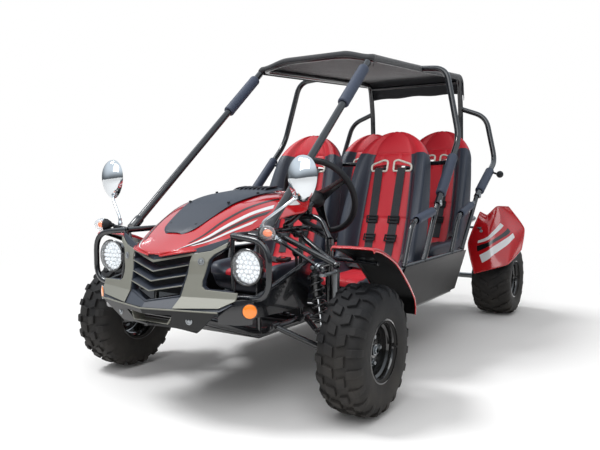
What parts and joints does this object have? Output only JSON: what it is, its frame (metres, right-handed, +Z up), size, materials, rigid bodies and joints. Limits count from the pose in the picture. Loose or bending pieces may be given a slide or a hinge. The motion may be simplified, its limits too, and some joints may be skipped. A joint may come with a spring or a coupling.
{
  "type": "off road go kart",
  "caption": "Off-road go-kart with bucket seats, tube roll cage, canopy, steering front wheels, coil-over suspension and chain-driven rear axle.",
  "frame": {"origin": "on the ground, under the middle of the kart's length and width", "axes": "+X to the driver's left, +Y from the nose to the tail, +Z up"},
  "size_m": [1.412, 2.9111, 1.5511],
  "materials": {
    "tube_black": "gloss black powder coat",
    "canopy_cloth": "black woven canopy cloth",
    "panel_black": "gloss black painted sheet",
    "bumper_grey": "satin moulded plastic, warm grey and slate",
    "body_red": "gloss red moulded plastic",
    "insert_slate": "dark slate textured plastic",
    "seat_vinyl": "red and black sewn vinyl",
    "lamp_clear": "clear lamp moulding",
    "chrome": "bright plating",
    "engine_alloy": "cast alloy",
    "grip_black": "black grip foam",
    "tyre_rubber": "black tyre rubber",
    "rim_black": "gloss black steel wheel",
    "spring_black": "black spring steel",
    "axle_steel": "machined steel"
  },
  "bodies": {
    "chassis": {"chassis_frame": "tube_black", "roll_cage": "tube_black", "front_pillar_left": "tube_black", "front_pillar_right": "tube_black", "canopy": "canopy_cloth", "floor_pan": "panel_black", "side_panel_left": "panel_black", "side_panel_right": "panel_black", "bumper_cover": "bumper_grey", "hood": "body_red", "hood_insert": "insert_slate", "front_fender_left": "body_red", "front_fender_right": "body_red", "rear_fender_left": "body_red", "rear_fender_right": "body_red", "front_seat_left": "seat_vinyl", "front_seat_right": "seat_vinyl", "rear_seat_left": "seat_vinyl", "rear_seat_right": "seat_vinyl", "headlight_left": "lamp_clear", "headlight_right": "lamp_clear", "front_signal_left": "lamp_clear", "front_signal_right": "lamp_clear", "engine": "engine_alloy"},
    "mirror_left": {"mirror_left": "chrome"},
    "mirror_right": {"mirror_right": "chrome"},
    "steering_wheel": {"steering_wheel": "grip_black"},
    "steering_rack": {"steering_rack": "chrome"},
    "tie_rod_left": {"tie_rod_left": "tube_black"},
    "tie_rod_right": {"tie_rod_right": "tube_black"},
    "throttle_pedal": {"throttle_pedal": "panel_black"},
    "brake_pedal": {"brake_pedal": "panel_black"},
    "shift_lever": {"shift_lever": "panel_black"},
    "lower_arm_left": {"lower_arm_left": "tube_black"},
    "lower_arm_right": {"lower_arm_right": "tube_black"},
    "upper_arm_left": {"upper_arm_left": "tube_black"},
    "upper_arm_right": {"upper_arm_right": "tube_black"},
    "ball_stud_left": {"ball_stud_left": "chrome"},
    "ball_stud_right": {"ball_stud_right": "chrome"},
    "upright_left": {"upright_left": "tube_black"},
    "upright_right": {"upright_right": "tube_black"},
    "front_wheel_left": {"front_tyre_left": "tyre_rubber", "front_rim_left": "rim_black"},
    "front_wheel_right": {"front_tyre_right": "tyre_rubber", "front_rim_right": "rim_black"},
    "front_shock_left": {"front_shock_body_left": "tube_black", "front_spring_left": "spring_black"},
    "front_shock_right": {"front_shock_body_right": "tube_black", "front_spring_right": "spring_black"},
    "front_rod_left": {"front_shock_rod_left": "chrome"},
    "front_rod_right": {"front_shock_rod_right": "chrome"},
    "swing_arm": {"swing_arm": "tube_black"},
    "rear_wheels": {"rear_axle": "axle_steel", "rear_tyre_left": "tyre_rubber", "rear_tyre_right": "tyre_rubber", "rear_rim_left": "rim_black", "rear_rim_right": "rim_black"},
    "rear_shock": {"rear_shock_body": "tube_black", "rear_spring": "spring_black"},
    "rear_rod": {"rear_shock_rod": "chrome"}
  },
  "joints": [
    {"name": "steer", "type": "hinge", "parent": "chassis", "child": "steering_wheel", "pos_m": [0.255, -0.884, 0.687], "axis": [0, 0.9154, 0.4025], "range_deg": [-120, 120]},
    {"name": "rack_slide", "type": "slide", "parent": "chassis", "child": "steering_rack", "axis": [1, 0, 0], "range_m": [-0.0375, 0.0375]},
    {"name": "left_lower_arm", "type": "hinge", "parent": "chassis", "child": "lower_arm_left", "pos_m": [0.29, -0.944, 0.305], "axis": [0, -1, 0], "range_deg": [0, 10], "stiffness_Nm_per_rad": 1600, "springref_deg": -14.32},
    {"name": "left_ball_stud", "type": "hinge", "parent": "lower_arm_left", "child": "ball_stud_left", "pos_m": [0.498, -0.944, 0.2], "axis": [0, -1, 0], "range_deg": [-10, 0]},
    {"name": "left_steer", "type": "hinge", "parent": "ball_stud_left", "child": "upright_left", "pos_m": [0.498, -0.944, 0.2], "axis": [0, 0, 1], "range_deg": [-22, 22]},
    {"name": "left_wheel_spin", "type": "hinge", "parent": "upright_left", "child": "front_wheel_left", "pos_m": [0.616, -0.944, 0.24018], "axis": [1, 0, 0], "continuous": true},
    {"name": "left_upper_arm", "type": "hinge", "parent": "chassis", "child": "upper_arm_left", "pos_m": [0.29, -0.944, 0.645], "axis": [0, -1, 0], "range_deg": [0, 10]},
    {"name": "left_tie_rod", "type": "hinge", "parent": "steering_rack", "child": "tie_rod_left", "pos_m": [0.29, -1.044, 0.639], "axis": [0, -1, 0], "range_deg": [0, 10]},
    {"name": "left_shock_swing", "type": "hinge", "parent": "chassis", "child": "front_shock_left", "pos_m": [0.4, -0.944, 0.525], "axis": [0, -1, 0], "range_deg": [0, 2.8]},
    {"name": "left_shock_slide", "type": "slide", "parent": "front_shock_left", "child": "front_rod_left", "axis": [-0.1598, 0, 0.9871], "range_m": [0, 0.027], "deforming": ["front_spring_left"]},
    {"name": "right_lower_arm", "type": "hinge", "parent": "chassis", "child": "lower_arm_right", "pos_m": [-0.29, -0.944, 0.305], "axis": [0, 1, 0], "range_deg": [0, 10], "stiffness_Nm_per_rad": 1600, "springref_deg": -14.32},
    {"name": "right_ball_stud", "type": "hinge", "parent": "lower_arm_right", "child": "ball_stud_right", "pos_m": [-0.498, -0.944, 0.2], "axis": [0, 1, 0], "range_deg": [-10, 0]},
    {"name": "right_steer", "type": "hinge", "parent": "ball_stud_right", "child": "upright_right", "pos_m": [-0.498, -0.944, 0.2], "axis": [0, 0, 1], "range_deg": [-22, 22]},
    {"name": "right_wheel_spin", "type": "hinge", "parent": "upright_right", "child": "front_wheel_right", "pos_m": [-0.616, -0.944, 0.24018], "axis": [1, 0, 0], "continuous": true},
    {"name": "right_upper_arm", "type": "hinge", "parent": "chassis", "child": "upper_arm_right", "pos_m": [-0.29, -0.944, 0.645], "axis": [0, 1, 0], "range_deg": [0, 10]},
    {"name": "right_tie_rod", "type": "hinge", "parent": "steering_rack", "child": "tie_rod_right", "pos_m": [-0.29, -1.044, 0.639], "axis": [0, 1, 0], "range_deg": [0, 10]},
    {"name": "right_shock_swing", "type": "hinge", "parent": "chassis", "child": "front_shock_right", "pos_m": [-0.4, -0.944, 0.525], "axis": [0, 1, 0], "range_deg": [0, 2.8]},
    {"name": "right_shock_slide", "type": "slide", "parent": "front_shock_right", "child": "front_rod_right", "axis": [0.1598, 0, 0.9871], "range_m": [0, 0.027], "deforming": ["front_spring_right"]},
    {"name": "rear_swing", "type": "hinge", "parent": "chassis", "child": "swing_arm", "pos_m": [0, 0.746, 0.33], "axis": [1, 0, 0], "range_deg": [0, 6], "stiffness_Nm_per_rad": 4000, "springref_deg": -17.19},
    {"name": "rear_axle_spin", "type": "hinge", "parent": "swing_arm", "child": "rear_wheels", "pos_m": [0, 1.156, 0.22725], "axis": [1, 0, 0], "continuous": true},
    {"name": "rear_shock_swing", "type": "hinge", "parent": "chassis", "child": "rear_shock", "pos_m": [0, 1.15, 0.56], "axis": [-1, 0, 0], "range_deg": [0, 0.8]},
    {"name": "rear_shock_slide", "type": "slide", "parent": "rear_shock", "child": "rear_rod", "axis": [0, 0.241, 0.9705], "range_m": [0, 0.036], "deforming": ["rear_spring"]},
    {"name": "throttle", "type": "hinge", "parent": "chassis", "child": "throttle_pedal", "pos_m": [0.13, -0.869, 0.305], "axis": [1, 0, 0], "range_deg": [0, 20], "stiffness_Nm_per_rad": 4, "springref_deg": -8.59},
    {"name": "brake", "type": "hinge", "parent": "chassis", "child": "brake_pedal", "pos_m": [0.218, -0.869, 0.305], "axis": [1, 0, 0], "range_deg": [0, 20], "stiffness_Nm_per_rad": 4, "springref_deg": -8.59},
    {"name": "gear_shift", "type": "hinge", "parent": "chassis", "child": "shift_lever", "pos_m": [0, -0.424, 0.262], "axis": [1, 0, 0], "range_deg": [-12, 12]},
    {"name": "left_mirror_turn", "type": "hinge", "parent": "chassis", "child": "mirror_left", "pos_m": [0.353, -1.221, 0.68], "axis": [0, 0, 1], "range_deg": [-20, 20]},
    {"name": "right_mirror_turn", "type": "hinge", "parent": "chassis", "child": "mirror_right", "pos_m": [-0.353, -1.221, 0.68], "axis": [0, 0, 1], "range_deg": [-20, 20]}
  ],
  "couplings": [
    {"joint": "rack_slide", "follows": "steer", "m_per_rad": 0.01785},
    {"joint": "left_steer", "follows": "steer", "ratio": 0.183},
    {"joint": "right_steer", "follows": "steer", "ratio": 0.183},
    {"joint": "left_ball_stud", "follows": "left_lower_arm", "ratio": -1},
    {"joint": "left_upper_arm", "follows": "left_lower_arm", "ratio": 1},
    {"joint": "left_tie_rod", "follows": "left_lower_arm", "ratio": 1},
    {"joint": "left_shock_swing", "follows": "left_lower_arm", "ratio": 0.27},
    {"joint": "left_shock_slide", "follows": "left_lower_arm", "m_per_rad": 0.1486},
    {"joint": "right_ball_stud", "follows": "right_lower_arm", "ratio": -1},
    {"joint": "right_upper_arm", "follows": "right_lower_arm", "ratio": 1},
    {"joint": "right_tie_rod", "follows": "right_lower_arm", "ratio": 1},
    {"joint": "right_shock_swing", "follows": "right_lower_arm", "ratio": 0.27},
    {"joint": "right_shock_slide", "follows": "right_lower_arm", "m_per_rad": 0.1486},
    {"joint": "rear_shock_swing", "follows": "rear_swing", "ratio": 0.1145},
    {"joint": "rear_shock_slide", "follows": "rear_swing", "m_per_rad": 0.3352}
  ]
}
